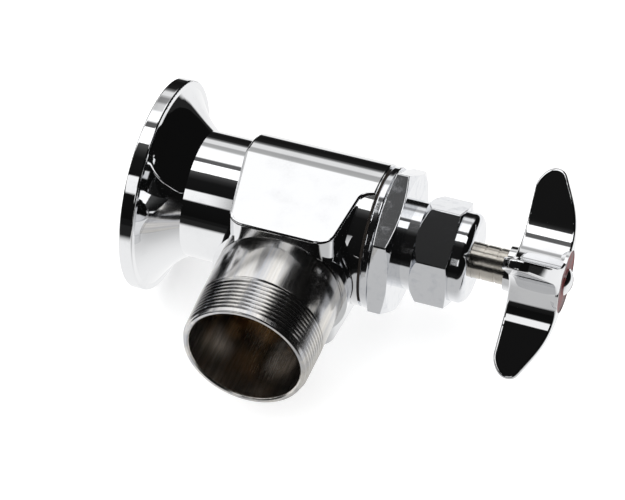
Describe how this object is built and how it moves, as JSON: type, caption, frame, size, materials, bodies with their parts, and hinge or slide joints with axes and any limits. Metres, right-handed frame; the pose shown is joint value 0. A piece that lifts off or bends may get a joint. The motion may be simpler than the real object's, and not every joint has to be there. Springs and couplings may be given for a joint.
{
  "type": "angle compression stop valve",
  "caption": "Chromed angle stop valve: trumpet inlet flange, block body, threaded pipe outlet at a right angle, hexagon bonnet and packing nut, four-arm handle with a red index.",
  "frame": {"origin": "centre of the inlet face, on the stem axis", "axes": "+X along the stem axis from the inlet to the handle; the outlet points along -Y; +Z is the normal of the body's upper flat"},
  "size_m": [0.2023, 0.1423, 0.1018],
  "materials": {
    "polished_chrome": "mirror-polished chrome plate",
    "handle_chrome": "polished chrome plate on a cast handle",
    "satin_steel": "satin stainless pipe, fine lengthwise streaks",
    "stem_nickel": "turned nickel-plated bronze with tool marks",
    "seat_steel": "fine-turned stainless steel",
    "bronze": "machined bronze",
    "packing_yarn": "graphited braided packing",
    "gasket_fibre": "pressed fibre sheet",
    "rubber_black": "moulded black rubber",
    "index_red": "matte red plastic with a fine grain"
  },
  "bodies": {
    "valve": {"valve_body": "polished_chrome", "inlet_flange": "polished_chrome", "seat_ring": "seat_steel", "seat_gasket": "gasket_fibre", "outlet_nipple": "satin_steel", "bonnet_gasket": "gasket_fibre", "bonnet": "polished_chrome", "packing_washer": "bronze", "packing_ring_1": "packing_yarn", "packing_ring_2": "packing_yarn", "packing_ring_3": "packing_yarn", "packing_gland": "bronze", "packing_nut": "polished_chrome"},
    "plug": {"plug": "bronze", "seat_washer": "rubber_black", "washer_retainer": "bronze", "washer_screw": "bronze", "thrust_washer": "bronze", "swivel_nut": "bronze"},
    "stem": {"stem": "stem_nickel", "handle": "handle_chrome", "index_disc": "index_red", "handle_screw": "handle_chrome"}
  },
  "joints": [
    {"name": "plug_lift", "type": "slide", "parent": "valve", "child": "plug", "axis": [1, 0, 0], "range_m": [0, 0.012]},
    {"name": "stem_turn", "type": "hinge", "parent": "plug", "child": "stem", "pos_m": [0.0762, 0, 0], "axis": [1, 0, 0], "range_deg": [0, 1080]}
  ],
  "couplings": [
    {"joint": "plug_lift", "follows": "stem_turn", "m_per_rad": 0.00063662}
  ]
}
